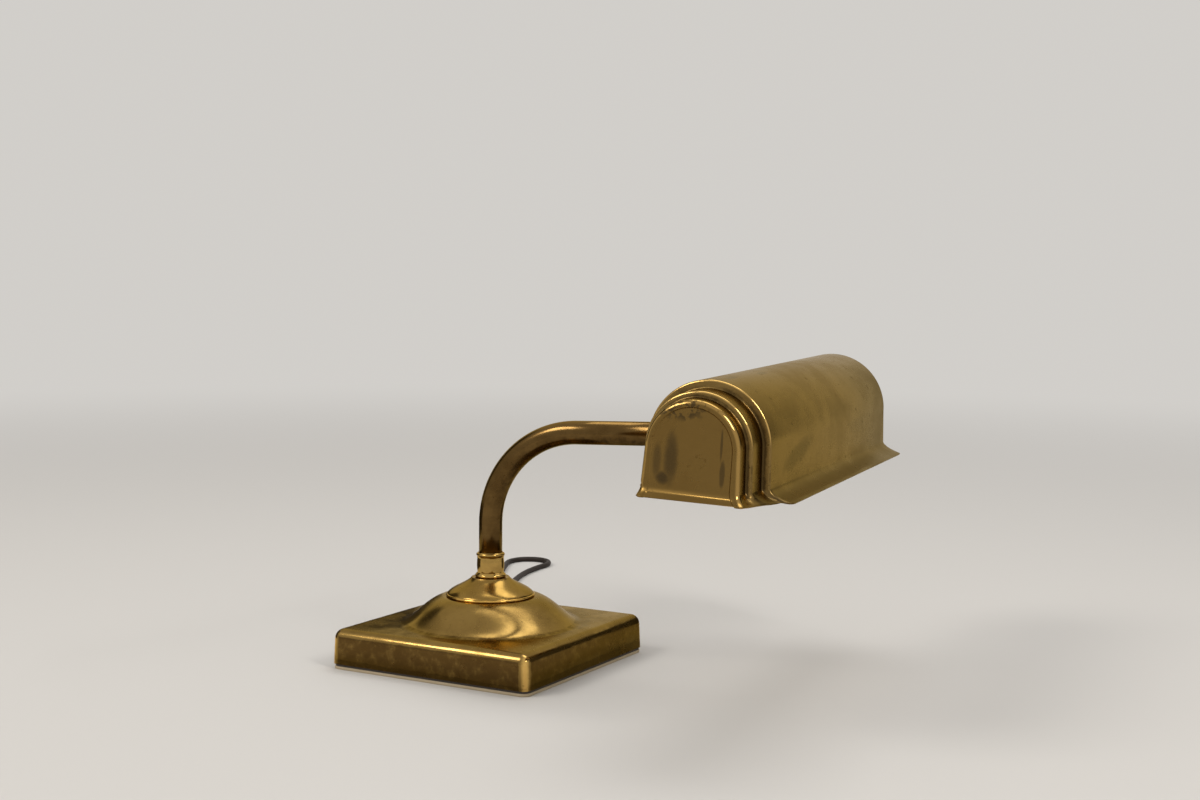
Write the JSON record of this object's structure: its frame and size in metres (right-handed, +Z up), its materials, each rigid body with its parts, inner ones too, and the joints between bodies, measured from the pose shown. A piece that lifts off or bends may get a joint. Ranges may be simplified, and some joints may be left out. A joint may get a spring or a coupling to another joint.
{
  "type": "desk lamp",
  "caption": "Brass desk lamp with a stepped trough shade that tilts on a bent, swinging tube arm over a weighted square base with a dome; bulb, turn switch, cord and plug.",
  "frame": {"origin": "middle of the felt pad's underside, on the axis of the stem", "axes": "+Z up, +X the way the arm reaches with its swing at zero turned back by 7.5 degrees, the base's sides square to X and Y"},
  "size_m": [0.442, 0.4737, 0.2022],
  "materials": {
    "aged_brass": "unlacquered brass gone olive brown, rubbed bright on its edges",
    "polished_brass": "polished brass, lightly tarnished",
    "bronze": "brass tube gone dark bronze, glossy",
    "steel": "zinc plated steel",
    "iron": "raw casting",
    "felt": "felt",
    "fibre": "dark pressed fibre and moulded plastic",
    "ceramic": "glazed porcelain look",
    "glass": "frosted glass",
    "cord": "dark brown matte sheath"
  },
  "bodies": {
    "base": {"felt_pad": "felt", "bottom_plate": "fibre", "plate_screws": "steel", "base_shell": "aged_brass", "ballast": "iron", "stem_pipe": "steel", "stem_washer": "steel", "stem_nut": "steel", "bell_cap": "polished_brass", "collar": "polished_brass", "swivel_screw": "polished_brass", "cord_gland": "fibre", "base_wire": "cord", "cord_lead": "cord", "cord_coil": "cord", "cord_tie": "fibre", "cord_tail": "cord", "plug_body": "cord", "plug_pins": "polished_brass"},
    "arm": {"arm_tube": "bronze", "arm_foot": "polished_brass", "arm_wire": "cord", "knuckle_fork": "bronze", "pivot_screw": "polished_brass", "thumb_nut": "polished_brass"},
    "shade": {"knuckle_eye": "polished_brass", "shade_shell": "aged_brass", "shade_washer": "steel", "shade_nut": "steel", "holder_bracket": "steel", "holder_nipple": "steel", "holder_nut": "steel", "holder_cap": "polished_brass", "holder_shell": "polished_brass", "holder_core": "ceramic", "screw_shell": "polished_brass", "centre_contact": "polished_brass", "holder_ring": "polished_brass", "shade_wire": "cord", "bulb_cap": "polished_brass", "bulb_glass": "glass", "bulb_filament": "steel"},
    "key": {"switch_key": "fibre"}
  },
  "joints": [
    {"name": "arm_swing", "type": "hinge", "parent": "base", "child": "arm", "pos_m": [0, 0, 0.0648], "axis": [0, 0, 1], "range_deg": [-160, 160]},
    {"name": "shade_tilt", "type": "hinge", "parent": "arm", "child": "shade", "pos_m": [0.13493, 0.01776, 0.1567], "axis": [-0.1305, 0.9914, 0], "range_deg": [-40, 45]},
    {"name": "switch_turn", "type": "hinge", "parent": "shade", "child": "key", "pos_m": [0.20041, -0.03565, 0.14337], "axis": [0.0502, 0.0066, 0.9987], "range_deg": [0, 90]}
  ]
}
